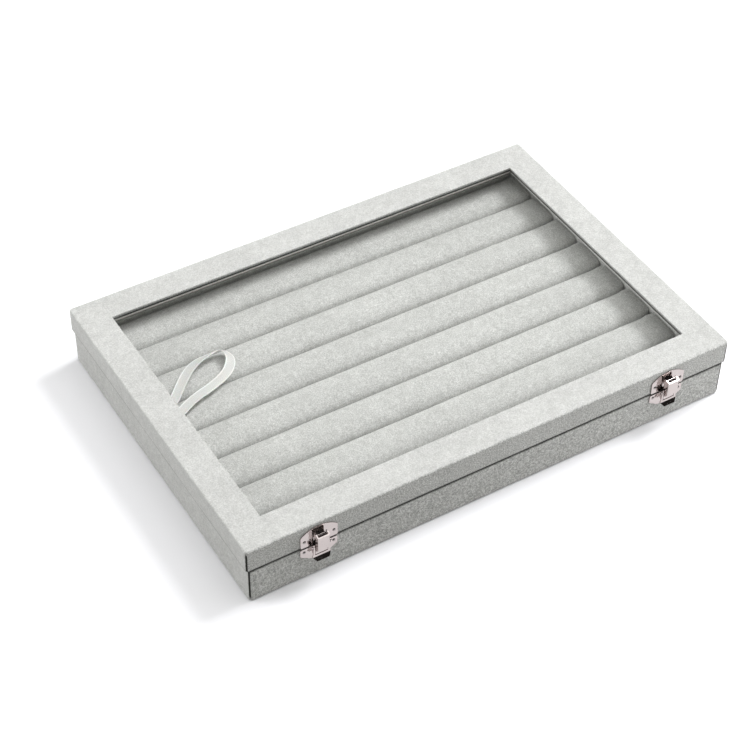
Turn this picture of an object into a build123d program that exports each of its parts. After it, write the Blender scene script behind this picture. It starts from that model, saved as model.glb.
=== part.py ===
from build123d import *
import os
from math import radians, tan

os.makedirs("parts", exist_ok=True)

# Velvet jewellery display box with a glass lid, closed, standing on its underside.
# X runs along the front, the front faces -Y, Z is up. The origin is the centre of the underside.
# All lengths are in millimetres.

# Closed box, over the lid
box_length = 350.0
box_depth = 240.0
box_height = 45.0

# Base against lid
base_height = 27.2
seam_gap = 0.4
overhang_side = 1.5
overhang_end = 0.4

# Materials of the carcass
cloth = 0.8
wall_board = 5.4
floor_board = 2.5
lid_top_board = 2.2
sheet = 0.5
sheet_inset = 4.0
turn_under = 12.0
corner_round = 2.0
top_round = 1.8
rim_round = 0.9
window_round = 0.6
foot_round = 1.2

# Lining strips, velvet on card
lining = 1.8
lining_drop = 1.4
lining_leg = 1.6
lining_reveal = 1.0
lining_lift = 0.4

# Window
window_rail = 21.0
glass = 2.0
glass_play = 0.4

# Insert with its padded rolls
roll_count = 8
roll_gap = 0.3
roll_crown = 29.6
roll_end_round = 2.5
insert_play = 0.4
insert_lift_off = 0.1
insert_board = 1.5
upstand = 1.5
upstand_top = 27.0
upstand_round = 0.5
end_slit = 1.1

# Ribbon pull: its section, how far it stands over the rolls, and where its ends stop
ribbon_width = 6.5
ribbon_thick = 0.5
ribbon_rise = 2.7
ribbon_tail = 16.0

# Nails
nail_shank = 0.5
nail_length = 4.5
nail_head = 1.1
nail_dome = 0.6
nail_play = 0.05

# Hinges, the middle of each set in from the box's end
hinge_inset = 65.0
leaf_length = 25.0
leaf_height = 10.0
leaf_thick = 0.8
knuckle_radius = 1.7
knuckle_play = 0.3
knuckle_length = 8.0
hinge_pin = 0.8
pin_play = 0.05
knuckle_stand_off = 0.1
hinge_nail_x = 8.0
hinge_nail_y = 6.0
leaf_round = 1.0
pin_head = 1.3
pin_head_thick = 0.6
pin_head_edge = 0.3

# Latches, the middle of each set in from the box's end: plates and nails
latch_inset = 48.0
plate_thick = 0.7
plate_half = 12.5
strike_low = 1.0
strike_shoulder = 10.0
strike_crown = 15.2
plate_top = -1.0
plate_shoulder = -6.7
plate_foot = -11.2
plate_foot_half = 5.6
latch_nail_x = 10.0
strike_nail_y = 5.8
plate_nail_y = 3.6
plate_round = 0.8

# Latch levers and links: out from the base's front face, up from the seam
lever_pivot = (3.2, 1.4)
link_pivot = (2.5, -2.6)
catch_bar = (3.8, 10.6)
eye_radius = 1.2
bar_radius = 0.55
lever_pin = 0.6
rivet_head = 1.0
rivet_head_thick = 0.3
link_pin = 0.5
lever_top = 3.1
lever_bend = -7.2
lever_low_half = 6.2
bill_tip = (5.7, -9.9)
bill_half = 3.4
bill_bend = 2.0
bill_round = 1.2
notch_low = -5.9
ear_foot_height = 3.6
ear_foot_inset = 0.3
link_half = 4.0
link_low = 0.4
hood_rise = 0.3
hook_rise = 1.8
hook_bend = 1.2

# Latch clearances
bar_throat = 0.65
hood_play = 0.6
hook_side_play = 0.5
notch_play = 0.35
tab_play = 0.7
cheek_step = 0.45
ear_play = 0.2

# Worked out from the values above
base_length = box_length - 2 * overhang_side
base_depth = box_depth - 2 * overhang_end
hinge_x = box_length / 2 - hinge_inset
latch_x = box_length / 2 - latch_inset
board_bottom = sheet + cloth
board_rim = base_height - cloth
floor_top = board_bottom + floor_board
seam = base_height + seam_gap / 2
lid_bottom = base_height + seam_gap
lid_board_bottom = lid_bottom + cloth
top_board_high = box_height - cloth
glass_top = top_board_high - lid_top_board
glass_bottom = glass_top - glass
wall_in = cloth + wall_board
lining_in = wall_in + lining
inner_x = base_length / 2 - lining_in
inner_y = base_depth / 2 - lining_in
insert_x = inner_x - insert_play
insert_y = inner_y - insert_play
insert_bottom = floor_top + insert_lift_off
insert_top = insert_bottom + insert_board
roll_end = insert_x - upstand - end_slit
roll_pitch = 2 * insert_y / roll_count
roll_radius = (roll_pitch - roll_gap) / 2
roll_centre = roll_crown - roll_radius
hinge_axis_out = overhang_end + knuckle_radius + knuckle_stand_off
ribbon_high = roll_crown + ribbon_rise
ear_foot_high = plate_top - ear_foot_inset
ear_foot_low = ear_foot_high - ear_foot_height
lever_face = link_pivot[0] + link_pin + ear_play + plate_thick / 2
hook_face = catch_bar[0] + bar_radius + bar_throat + plate_thick / 2
link_face = hook_face + plate_thick + hood_play
link_high = catch_bar[1] + hood_rise
hook_high = catch_bar[1] + hook_rise
hook_half = link_half - plate_thick - hook_side_play
notch_half = link_half + notch_play
lever_cheek = notch_half + cheek_step
lever_top_half = lever_cheek + plate_thick
ear_inner = lever_top_half + ear_play
tab_low = notch_low + tab_play
base_front = -base_depth / 2
lid_front = -box_depth / 2
base_rear = base_depth / 2
lid_rear = box_depth / 2
sides = {"front": 0, "right": 90, "rear": 180, "left": 270}


def save(piece, name):
    """Label a finished piece and write it."""
    piece.label = name
    export_step(piece, f"parts/{name}.step")


def face_plane(x, y, out):
    """A plane on a front (out = -1) or rear (out = 1) face at the seam: local Y is up, Z outwards."""
    return Plane(origin=(x, y, seam), x_dir=(-out, 0, 0), z_dir=(0, out, 0))


def side_plane(x, y, out):
    """A plane across such a face: local X is outwards, Y is up from the seam."""
    return Plane(origin=(x, y, seam), x_dir=(0, out, 0), z_dir=(out, 0, 0))


def edge_strip(side, length, depth, outer, inner):
    """Outline of a mitred strip along one side of a length x depth frame, from inset outer to inset inner."""
    run, span = (length / 2, depth / 2) if side in ("front", "rear") else (depth / 2, length / 2)
    return [
        (-(run - outer), -(span - outer)),
        (run - outer, -(span - outer)),
        (run - inner, -(span - inner)),
        (-(run - inner), -(span - inner)),
    ]


def side_sketch_plane(side, height):
    """The horizontal plane at a height, turned so that the side lies towards local -Y."""
    return Plane.XY.offset(height).rotated((0, 0, sides[side]))


# Nails: their places on the front and the rear, and the holes they need
hinge_nails = [(-hinge_nail_x, hinge_nail_y), (hinge_nail_x, hinge_nail_y)]
strike_nails = [(-latch_nail_x, strike_nail_y), (latch_nail_x, strike_nail_y)]
plate_nails = [(-latch_nail_x, plate_nail_y), (latch_nail_x, plate_nail_y)]


def nail_spots(half_x, nails, up):
    """Nail places for the two fittings at -half_x and half_x, above (up = 1) or below (up = -1) the seam."""
    return [(centre + x, up * y) for centre in (-half_x, half_x) for x, y in nails]


def nail_holes(plane, spots, depth):
    """Cut the nail holes of a face into the piece being built."""
    with BuildSketch(plane) as holes:
        with Locations(*spots):
            Circle(nail_shank + nail_play)
    extrude(holes.sketch, amount=-depth, mode=Mode.SUBTRACT)


nail_depth = cloth + nail_length + nail_play

# Underside sheet
with BuildPart() as underside_sheet:
    with BuildSketch():
        RectangleRounded(base_length - 2 * sheet_inset, base_depth - 2 * sheet_inset, corner_round)
    extrude(amount=sheet)
save(underside_sheet.part, "underside_sheet")

# Floor board, between the walls
with BuildPart() as base_floor_board:
    with BuildSketch(Plane.XY.offset(board_bottom)):
        Rectangle(base_length - 2 * wall_in, base_depth - 2 * wall_in)
    extrude(amount=floor_board)
save(base_floor_board.part, "base_floor_board")

# Wall boards, mitred at the corners, with the nail holes of the hinges and latches
for side in sides:
    with BuildPart() as wall:
        with BuildSketch(side_sketch_plane(side, board_bottom)):
            Polygon(*edge_strip(side, base_length, base_depth, cloth, wall_in), align=None)
        extrude(amount=board_rim - board_bottom)
        if side == "front":
            nail_holes(face_plane(0, base_front, -1), nail_spots(latch_x, plate_nails, -1), nail_depth)
        if side == "rear":
            nail_holes(face_plane(0, base_rear, 1), nail_spots(hinge_x, hinge_nails, -1), nail_depth)
    save(wall.part, f"base_{side}_board")

# Velvet cover of the base: outside, rim, and turned under the boards
with BuildPart() as base_cover:
    with BuildSketch(Plane.XY.offset(sheet)):
        RectangleRounded(base_length, base_depth, corner_round)
    extrude(amount=base_height - sheet)
    fillet(base_cover.faces().sort_by(Axis.Z)[-1].edges(), radius=rim_round)
    fillet(base_cover.faces().sort_by(Axis.Z)[0].edges(), radius=foot_round)
    with BuildSketch(Plane.XY.offset(board_bottom)):
        Rectangle(base_length - 2 * cloth, base_depth - 2 * cloth)
    extrude(amount=board_rim - board_bottom, mode=Mode.SUBTRACT)
    with BuildSketch(Plane.XY.offset(board_rim)):
        Rectangle(base_length - 2 * wall_in, base_depth - 2 * wall_in)
    extrude(amount=cloth, mode=Mode.SUBTRACT)
    with BuildSketch(Plane.XY.offset(sheet)):
        Rectangle(base_length - 2 * turn_under, base_depth - 2 * turn_under)
    extrude(amount=cloth, mode=Mode.SUBTRACT)
    nail_holes(face_plane(0, base_front, -1), nail_spots(latch_x, plate_nails, -1), cloth)
    nail_holes(face_plane(0, base_rear, 1), nail_spots(hinge_x, hinge_nails, -1), cloth)
save(base_cover.part, "base_cover")

# Lining strips inside the base
for side in sides:
    with BuildPart() as strip:
        with BuildSketch(side_sketch_plane(side, floor_top)):
            Polygon(*edge_strip(side, base_length, base_depth, wall_in, lining_in), align=None)
        extrude(amount=base_height - lining_drop - floor_top)
    save(strip.part, f"base_lining_{side}")

# Insert: a board with an upstand at each end
with BuildPart() as insert_tray:
    with BuildSketch(Plane.XY.offset(insert_bottom)):
        Rectangle(2 * insert_x, 2 * insert_y)
    extrude(amount=insert_board)
save(insert_tray.part, "insert_board")

for name, end in (("left", -1), ("right", 1)):
    with BuildPart() as insert_end:
        with BuildSketch(Plane.XY.offset(insert_top)):
            with Locations((end * (insert_x - upstand / 2), 0)):
                Rectangle(upstand, 2 * insert_y)
        extrude(amount=upstand_top - insert_top)
        fillet(insert_end.faces().sort_by(Axis.Z)[-1].edges().filter_by(Axis.Y), radius=upstand_round)
    save(insert_end.part, f"insert_end_{name}")

# Padded rolls: round foam rolls in velvet, flat where they are glued down
for number in range(roll_count):
    roll_y = insert_y - (number + 0.5) * roll_pitch
    with BuildPart() as roll:
        with BuildSketch(Plane.YZ.offset(-roll_end)):
            with Locations((roll_y, roll_centre)):
                Circle(roll_radius)
        extrude(amount=2 * roll_end)
        fillet(roll.edges().filter_by(GeomType.CIRCLE), radius=roll_end_round)
        split(bisect_by=Plane.XY.offset(insert_top), keep=Keep.TOP)
    save(roll.part, f"padded_roll_{number + 1}")

# Ribbon pull: both ends go down between the rolls' left ends and the upstand
slit_x = -(roll_end + end_slit / 2)
ribbon_route = [
    (slit_x, 20.0, ribbon_tail),
    (slit_x, 20.0, ribbon_high),
    (-151.5, 19.5, ribbon_high),
    (-143.5, 28.0, ribbon_high),
    (-131.5, 40.0, ribbon_high),
    (-121.5, 46.2, ribbon_high),
    (-111.0, 48.0, ribbon_high),
    (-102.3, 49.2, ribbon_high),
    (-99.6, 40.0, ribbon_high),
    (-105.2, 30.8, ribbon_high),
    (-113.0, 25.2, ribbon_high),
    (-124.5, 20.8, ribbon_high),
    (-135.5, 18.0, ribbon_high),
    (-144.5, 14.0, ribbon_high),
    (-152.5, 9.0, ribbon_high),
    (slit_x, 9.0, ribbon_high),
    (slit_x, 9.0, ribbon_tail),
]


def bend_radii(route):
    """The largest even arc that fits each corner of a route."""
    radii = []
    for before, corner, after in zip(route, route[1:], route[2:]):
        run_in = Vector(*corner) - Vector(*before)
        run_out = Vector(*after) - Vector(*corner)
        turn = radians(run_in.get_angle(run_out))
        radii.append(0.45 * min(run_in.length, run_out.length) / tan(turn / 2))
    return radii


ribbon_radii = bend_radii(ribbon_route)
print("ribbon radii", [round(radius, 1) for radius in ribbon_radii])
with BuildPart() as ribbon_pull:
    with BuildLine() as ribbon_path:
        FilletPolyline(*ribbon_route, radius=ribbon_radii)
    with BuildSketch(Plane(origin=ribbon_route[0], x_dir=(0, 1, 0), z_dir=(0, 0, 1))):
        Rectangle(ribbon_width, ribbon_thick)
    sweep(path=ribbon_path.wire())
ribbon_length = ribbon_path.wire().length
ribbon_share = ribbon_pull.part.volume / (ribbon_width * ribbon_thick * ribbon_length)
print("ribbon length", round(ribbon_length, 1), "volume share", round(ribbon_share, 4))
save(ribbon_pull.part, "ribbon_pull")

# Lid rails: L-section boards, the upright wall and the flat top rail round the window
rail_in = window_rail - cloth
for side in sides:
    with BuildPart() as rail:
        with BuildSketch(side_sketch_plane(side, lid_board_bottom)):
            Polygon(*edge_strip(side, box_length, box_depth, cloth, wall_in), align=None)
        extrude(amount=top_board_high - lid_board_bottom)
        with BuildSketch(side_sketch_plane(side, glass_top)):
            Polygon(*edge_strip(side, box_length, box_depth, cloth, rail_in), align=None)
        extrude(amount=lid_top_board)
        if side == "front":
            nail_holes(face_plane(0, lid_front, -1), nail_spots(latch_x, strike_nails, 1), nail_depth)
        if side == "rear":
            nail_holes(face_plane(0, lid_rear, 1), nail_spots(hinge_x, hinge_nails, 1), nail_depth)
    save(rail.part, f"lid_rail_{side}")

# Velvet cover of the lid: outside, top, window edge and rim
with BuildPart() as lid_cover:
    with BuildSketch(Plane.XY.offset(lid_bottom)):
        RectangleRounded(box_length, box_depth, corner_round)
    extrude(amount=box_height - lid_bottom)
    fillet(lid_cover.faces().sort_by(Axis.Z)[-1].edges(), radius=top_round)
    fillet(lid_cover.faces().sort_by(Axis.Z)[0].edges(), radius=rim_round)
    with BuildSketch(Plane.XY.offset(lid_board_bottom)):
        Rectangle(box_length - 2 * cloth, box_depth - 2 * cloth)
    extrude(amount=glass_top - lid_board_bottom, mode=Mode.SUBTRACT)
    with BuildSketch(Plane.XY.offset(lid_bottom)):
        Rectangle(box_length - 2 * wall_in, box_depth - 2 * wall_in)
    extrude(amount=cloth, mode=Mode.SUBTRACT)
    with BuildSketch(Plane.XY.offset(glass_top)):
        Rectangle(box_length - 2 * window_rail, box_depth - 2 * window_rail)
    extrude(amount=box_height - glass_top, mode=Mode.SUBTRACT)
    top_face = lid_cover.faces().sort_by(Axis.Z)[-1]
    fillet(top_face.inner_wires()[0].edges(), radius=window_round)
    with BuildSketch(Plane.XY.offset(glass_top)):
        Rectangle(box_length - 2 * cloth, box_depth - 2 * cloth)
        Rectangle(box_length - 2 * rail_in, box_depth - 2 * rail_in, mode=Mode.SUBTRACT)
    extrude(amount=lid_top_board, mode=Mode.SUBTRACT)
    nail_holes(face_plane(0, lid_front, -1), nail_spots(latch_x, strike_nails, 1), cloth)
    nail_holes(face_plane(0, lid_rear, 1), nail_spots(hinge_x, hinge_nails, 1), cloth)
save(lid_cover.part, "lid_cover")

# Glass pane, under the top rails
pane_inset = wall_in + glass_play
with BuildPart() as glass_pane:
    with BuildSketch(Plane.XY.offset(glass_bottom)):
        Rectangle(box_length - 2 * pane_inset, box_depth - 2 * pane_inset)
    extrude(amount=glass)
save(glass_pane.part, "glass_pane")

# Lid lining strips: an upright leg on the wall and a flat leg that holds the glass
leg_in = window_rail - lining_reveal
for side in sides:
    with BuildPart() as strip:
        with BuildSketch(side_sketch_plane(side, lid_bottom + lining_lift)):
            Polygon(*edge_strip(side, box_length, box_depth, wall_in, lining_in), align=None)
        extrude(amount=glass_bottom - lid_bottom - lining_lift)
        with BuildSketch(side_sketch_plane(side, glass_bottom - lining_leg)):
            Polygon(*edge_strip(side, box_length, box_depth, wall_in, leg_in), align=None)
        extrude(amount=lining_leg)
    save(strip.part, f"lid_lining_{side}")

# One nail, head outwards along Z, its head's flat on the plane
with BuildPart() as nail:
    with BuildSketch(Plane.XZ):
        with BuildLine():
            Polyline(
                (nail_head, 0), (nail_shank, 0), (nail_shank, -nail_length), (0, -nail_length), (0, nail_dome)
            )
            TangentArc((0, nail_dome), (nail_head, 0), tangent=(1, 0))
        make_face()
    revolve(axis=Axis.Z)


def nail_group(name, plane, spots):
    """Write one node with a nail at each spot of a face."""
    with BuildPart() as nails:
        for spot in spots:
            with Locations(plane * Pos(*spot)):
                add(nail.part)
    save(nails.part, name)


base_plate_face = face_plane(0, base_front, -1).offset(plate_thick)
strike_plate_face = face_plane(0, lid_front, -1).offset(plate_thick)
base_leaf_face = face_plane(0, base_rear, 1).offset(leaf_thick)
lid_leaf_face = face_plane(0, lid_rear, 1).offset(leaf_thick)
nail_group("latch_plate_nails", base_plate_face, nail_spots(latch_x, plate_nails, -1))
nail_group("latch_strike_nails", strike_plate_face, nail_spots(latch_x, strike_nails, 1))
nail_group("hinge_base_nails", base_leaf_face, nail_spots(hinge_x, hinge_nails, -1))
nail_group("hinge_lid_nails", lid_leaf_face, nail_spots(hinge_x, hinge_nails, 1))


def hinge_leaf(x, face_y, up, knuckles, bore):
    """One leaf with its rolled knuckles, above (up = 1) or below (up = -1) the seam."""
    knuckle_clear = knuckle_radius + knuckle_play
    face_out = face_y - base_rear
    with BuildPart() as leaf:
        with BuildSketch(face_plane(x, face_y, 1)):
            with Locations((0, up * (knuckle_clear + leaf_height) / 2)):
                RectangleRounded(leaf_length, leaf_height - knuckle_clear, leaf_round)
        extrude(amount=leaf_thick)
        for start, end in knuckles:
            with BuildSketch(side_plane(x + start, base_rear, 1)):
                with Locations((hinge_axis_out, 0)):
                    Circle(knuckle_radius)
                Polygon(
                    (face_out, up * (knuckle_clear + leaf_round)),
                    (face_out + leaf_thick, up * (knuckle_clear + leaf_round)),
                    (hinge_axis_out, up * knuckle_radius),
                    (hinge_axis_out, 0),
                    (hinge_axis_out - knuckle_radius, 0),
                    (face_out, up * knuckle_radius / 2),
                    align=None,
                )
            extrude(amount=end - start)
        with BuildSketch(side_plane(x - leaf_length, base_rear, 1)):
            with Locations((hinge_axis_out, 0)):
                Circle(bore)
        extrude(amount=2 * leaf_length, mode=Mode.SUBTRACT)
        spots = [(nail_x, up * nail_y) for nail_x, nail_y in hinge_nails]
        nail_holes(face_plane(x, face_y, 1).offset(leaf_thick), spots, leaf_thick)
    return leaf


def hinge(name, x):
    """One butt hinge on the rear: two leaves and the headed pin."""
    middle = (-knuckle_length / 2, knuckle_length / 2)
    outer_start = knuckle_length / 2 + knuckle_play
    outer = [(-leaf_length / 2, -outer_start), (outer_start, leaf_length / 2)]
    save(hinge_leaf(x, base_rear, -1, outer, hinge_pin).part, f"{name}_base_leaf")
    save(hinge_leaf(x, lid_rear, 1, [middle], hinge_pin + pin_play).part, f"{name}_lid_leaf")
    with BuildPart() as pin:
        with BuildSketch(side_plane(x, base_rear, 1)):
            with Locations((hinge_axis_out, 0)):
                Circle(hinge_pin)
        extrude(amount=leaf_length / 2, both=True)
        for end in (-1, 1):
            with BuildSketch(side_plane(x + end * leaf_length / 2, base_rear, 1)):
                with Locations((hinge_axis_out, 0)):
                    Circle(pin_head)
            extrude(amount=end * pin_head_thick)
        chamfer(pin.faces().sort_by(Axis.X)[-1].edges(), length=pin_head_edge)
        chamfer(pin.faces().sort_by(Axis.X)[0].edges(), length=pin_head_edge)
    save(pin.part, f"{name}_pin")


def latch_strike(x):
    """The arched plate on the lid, with its hook."""
    ledge = catch_bar[1] - bar_radius - pin_play - plate_thick / 2
    with BuildPart() as strike:
        with BuildSketch(face_plane(x, lid_front, -1)) as outline:
            with BuildLine():
                Polyline(
                    (-plate_half, strike_shoulder),
                    (-plate_half, strike_low),
                    (plate_half, strike_low),
                    (plate_half, strike_shoulder),
                )
                ThreePointArc(
                    (plate_half, strike_shoulder), (0, strike_crown), (-plate_half, strike_shoulder)
                )
            make_face()
            fillet(outline.vertices(), radius=plate_round)
        extrude(amount=plate_thick)
        with BuildSketch(side_plane(x, base_front, -1)):
            with BuildLine():
                FilletPolyline(
                    (overhang_end + plate_thick / 2, ledge),
                    (hook_face, ledge),
                    (hook_face, hook_high),
                    radius=hook_bend,
                )
            trace(line_width=plate_thick)
        extrude(amount=hook_half, both=True)
        nail_holes(face_plane(x, lid_front, -1).offset(plate_thick), strike_nails, plate_thick)
    return strike


def latch_plate(x):
    """The plate on the base, with the two ears that carry the lever."""
    section = side_plane(x, base_front, -1)
    with BuildPart() as plate:
        with BuildSketch(face_plane(x, base_front, -1)) as outline:
            Polygon(
                (-plate_half, plate_top),
                (-plate_half, plate_shoulder),
                (-plate_foot_half, plate_foot),
                (plate_foot_half, plate_foot),
                (plate_half, plate_shoulder),
                (plate_half, plate_top),
                align=None,
            )
            fillet(outline.vertices(), radius=plate_round)
        extrude(amount=plate_thick)
        for start in (ear_inner, -ear_inner - plate_thick):
            with BuildSketch(section.offset(start)):
                with Locations(lever_pivot):
                    Circle(eye_radius)
                with Locations((plate_thick / 2, (ear_foot_low + ear_foot_high) / 2)):
                    Rectangle(plate_thick, ear_foot_high - ear_foot_low)
                make_hull()
            extrude(amount=plate_thick)
        with BuildSketch(section):
            with Locations(lever_pivot):
                Circle(lever_pin)
        extrude(amount=plate_half, both=True, mode=Mode.SUBTRACT)
        spots = [(nail_x, -nail_y) for nail_x, nail_y in plate_nails]
        nail_holes(face_plane(x, base_front, -1).offset(plate_thick), spots, plate_thick)
    return plate


def latch_lever(x):
    """The lever: a flared face with a slot for the link and an outward bill, between two cheeks."""
    section = side_plane(x, base_front, -1)
    front = face_plane(x, base_front, -1)
    reach = bill_tip[0] + 2 * plate_thick
    with BuildPart() as lever:
        with BuildSketch(section):
            with BuildLine():
                FilletPolyline(
                    (lever_face, lever_top), (lever_face, lever_bend), bill_tip, radius=bill_bend
                )
            trace(line_width=plate_thick)
        extrude(amount=lever_low_half, both=True)
        with BuildSketch(front) as outline:
            Polygon(
                (-lever_top_half, lever_top),
                (-lever_top_half, ear_foot_low),
                (-lever_low_half, lever_bend),
                (-bill_half, bill_tip[1] - plate_thick),
                (bill_half, bill_tip[1] - plate_thick),
                (lever_low_half, lever_bend),
                (lever_top_half, ear_foot_low),
                (lever_top_half, lever_top),
                align=None,
            )
            fillet(outline.vertices().group_by(Axis.Y)[0], radius=bill_round)
        extrude(amount=reach, mode=Mode.INTERSECT)
        with BuildSketch(front):
            with Locations((0, lever_top)):
                Rectangle(2 * notch_half, 2 * (lever_top - notch_low))
        extrude(amount=reach, mode=Mode.SUBTRACT)
        for start in (lever_cheek, -lever_cheek - plate_thick):
            with BuildSketch(section.offset(start)):
                with Locations(lever_pivot, link_pivot):
                    Circle(eye_radius - pin_play)
                with Locations((lever_face, (lever_top + notch_low) / 2)):
                    Rectangle(plate_thick / 2, lever_top - notch_low - plate_thick)
                make_hull()
            extrude(amount=plate_thick)
        with BuildSketch(section):
            with Locations(lever_pivot):
                Circle(lever_pin + pin_play)
            with Locations(link_pivot):
                Circle(link_pin)
        extrude(amount=plate_half, both=True, mode=Mode.SUBTRACT)
    return lever


def latch_link(x):
    """The link: a hood open at the back and top, with a tab below that fills the lever's slot, pivoted
    on the lever, and with the bar that the hook holds."""
    section = side_plane(x, base_front, -1)
    with BuildPart() as link:
        with BuildSketch(section):
            with Locations(link_pivot, catch_bar):
                Circle(eye_radius - pin_play)
            with Locations((link_face, (link_low + link_high) / 2)):
                Rectangle(plate_thick, link_high - link_low)
            make_hull()
        extrude(amount=link_half, both=True)
        fillet(link.edges().filter_by(Axis.Z).group_by(Axis.Y)[0], radius=plate_thick)
        with BuildSketch(section):
            with Locations((link_face - plate_thick / 2, 0)):
                Rectangle(2 * link_face, 4 * link_high, align=(Align.MAX, Align.CENTER))
        extrude(amount=link_half - plate_thick, both=True, mode=Mode.SUBTRACT)
        with BuildSketch(section):
            with Locations(catch_bar):
                Circle(bar_radius)
            with Locations((lever_face, (tab_low + link_low) / 2)):
                Rectangle(plate_thick, link_low - tab_low)
        extrude(amount=link_half, both=True)
        with BuildSketch(section):
            with Locations(link_pivot):
                Circle(link_pin + pin_play)
        extrude(amount=plate_half, both=True, mode=Mode.SUBTRACT)
    return link


def lever_rivets(x):
    """The two short headed rivets that join the ears and the lever's cheeks."""
    with BuildPart() as rivets:
        for out in (-1, 1):
            with BuildSketch(side_plane(x - out * (lever_cheek - pin_play), base_front, -1)):
                with Locations(lever_pivot):
                    Circle(lever_pin)
            extrude(amount=out * (ear_inner + plate_thick - lever_cheek + pin_play))
            with BuildSketch(side_plane(x - out * (ear_inner + plate_thick), base_front, -1)):
                with Locations(lever_pivot):
                    Circle(rivet_head)
            extrude(amount=out * rivet_head_thick)
    return rivets


def link_pin_rod(x):
    """The plain pin through the lever's cheeks and the link."""
    with BuildPart() as rod:
        with BuildSketch(side_plane(x, base_front, -1)):
            with Locations(link_pivot):
                Circle(link_pin)
        extrude(amount=lever_cheek + plate_thick, both=True)
    return rod


for name, place in (("left", -1), ("right", 1)):
    hinge(f"hinge_{name}", place * hinge_x)
    centre = place * latch_x
    save(latch_strike(centre).part, f"latch_{name}_strike")
    save(latch_plate(centre).part, f"latch_{name}_plate")
    save(latch_lever(centre).part, f"latch_{name}_lever")
    save(latch_link(centre).part, f"latch_{name}_link")
    save(lever_rivets(centre).part, f"latch_{name}_lever_rivets")
    save(link_pin_rod(centre).part, f"latch_{name}_link_pin")
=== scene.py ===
# %% [markdown]
# # A velvet display box with a glass lid
# The box is flat and covered in pale grey velvet. Under a glass-topped lid lie eight padded rolls and
# a satin pull. Two nickel latches close it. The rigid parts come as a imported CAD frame. This lesson
# gives the frame its finishes and models the soft parts again: the wrapped velvet, the rolls and the
# ribbon. Lengths are in metres, +Z is up and the front faces -Y.

import math

import bmesh
import bpy
from mathutils import Matrix, Vector, noise


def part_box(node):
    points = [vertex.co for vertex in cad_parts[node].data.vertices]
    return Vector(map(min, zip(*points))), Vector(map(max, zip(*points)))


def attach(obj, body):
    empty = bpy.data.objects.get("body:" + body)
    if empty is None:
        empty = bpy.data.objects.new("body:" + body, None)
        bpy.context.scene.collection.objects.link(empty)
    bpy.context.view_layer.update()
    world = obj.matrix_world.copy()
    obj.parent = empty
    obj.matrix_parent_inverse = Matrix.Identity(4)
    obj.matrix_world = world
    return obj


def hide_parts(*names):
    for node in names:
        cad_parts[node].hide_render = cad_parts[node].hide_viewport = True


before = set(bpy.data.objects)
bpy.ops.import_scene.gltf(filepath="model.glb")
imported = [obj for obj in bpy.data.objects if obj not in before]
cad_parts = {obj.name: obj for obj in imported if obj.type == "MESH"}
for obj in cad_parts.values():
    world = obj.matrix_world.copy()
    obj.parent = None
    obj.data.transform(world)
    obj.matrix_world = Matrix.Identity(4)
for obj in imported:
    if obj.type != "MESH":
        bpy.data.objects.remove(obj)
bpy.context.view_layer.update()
MM = 0.001
SIDES = ("front", "rear", "left", "right")
ENDS = ("left", "right")

# %% [markdown]
# ## Camera
# The camera's place comes first, because the ribbon is judged through it. Its angles, distance and
# lens were fitted to the box's outline in the photograph. A direction "back" points from the box to
# the camera. From it follow the camera's own axes, and a small roll turns them about that direction.

# %% Set up the camera
CAMERA_AZIMUTH = math.radians(-31.79)
CAMERA_ELEVATION = math.radians(44.14)
CAMERA_ROLL = math.radians(1.04)
CAMERA_DISTANCE = 1.27545
CAMERA_TARGET = Vector((-0.01142, 0.00846, 0))
FOCAL_PIXELS = 1938.63
PHOTO_PIXELS = 748
SENSOR_WIDTH = 36

back = Vector((
    math.sin(CAMERA_AZIMUTH) * math.cos(CAMERA_ELEVATION),
    -math.cos(CAMERA_AZIMUTH) * math.cos(CAMERA_ELEVATION),
    math.sin(CAMERA_ELEVATION),
))
level = Vector((0, 0, 1)).cross(back).normalized()
upright = back.cross(level)
camera_x = level * math.cos(CAMERA_ROLL) + upright * math.sin(CAMERA_ROLL)
camera_y = upright * math.cos(CAMERA_ROLL) - level * math.sin(CAMERA_ROLL)

camera = bpy.data.objects.new("camera", bpy.data.cameras.new("camera"))
camera.data.sensor_width = SENSOR_WIDTH
camera.data.lens = FOCAL_PIXELS / PHOTO_PIXELS * SENSOR_WIDTH
camera.data.clip_end = 20
turn = Matrix((camera_x, camera_y, back)).transposed().to_4x4()
camera.matrix_world = Matrix.Translation(CAMERA_TARGET + back * CAMERA_DISTANCE) @ turn
bpy.context.scene.collection.objects.link(camera)
bpy.context.scene.camera = camera
bpy.context.scene.view_settings.view_transform = "Standard"
print("lens", round(camera.data.lens, 2), "mm")

# %% [markdown]
# ## Helpers for materials
# Every finish here is a Principled shader with a few procedural textures. The patterns read Object
# coordinates. The frame's objects stand at the origin, so those are real lengths, and a noise of
# scale 1000 has grains of about one millimetre. One small function makes the material and one adds
# a noise with its contrast set by a colour ramp.

# %% Material helpers


def finish_of(name, **sockets):
    """A material with one Principled shader, with constants set on the shader's own sockets."""
    material = bpy.data.materials.new(name)
    material.use_nodes = True
    shader = material.node_tree.nodes["Principled BSDF"]
    for socket, value in sockets.items():
        shader.inputs[socket.replace("_", " ")].default_value = value
    return material, material.node_tree, shader


def object_noise(tree, scale, detail=2.0, rough=0.5, stretch=(1, 1, 1)):
    """A noise on Object coordinates. Its value is about 0.5 on average."""
    place = tree.nodes.new("ShaderNodeTexCoord")
    mapping = tree.nodes.new("ShaderNodeMapping")
    mapping.inputs["Scale"].default_value = stretch
    texture = tree.nodes.new("ShaderNodeTexNoise")
    texture.inputs["Scale"].default_value = scale
    texture.inputs["Detail"].default_value = detail
    texture.inputs["Roughness"].default_value = rough
    tree.links.new(place.outputs["Object"], mapping.inputs["Vector"])
    tree.links.new(mapping.outputs["Vector"], texture.inputs["Vector"])
    return texture.outputs["Fac"]


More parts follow.
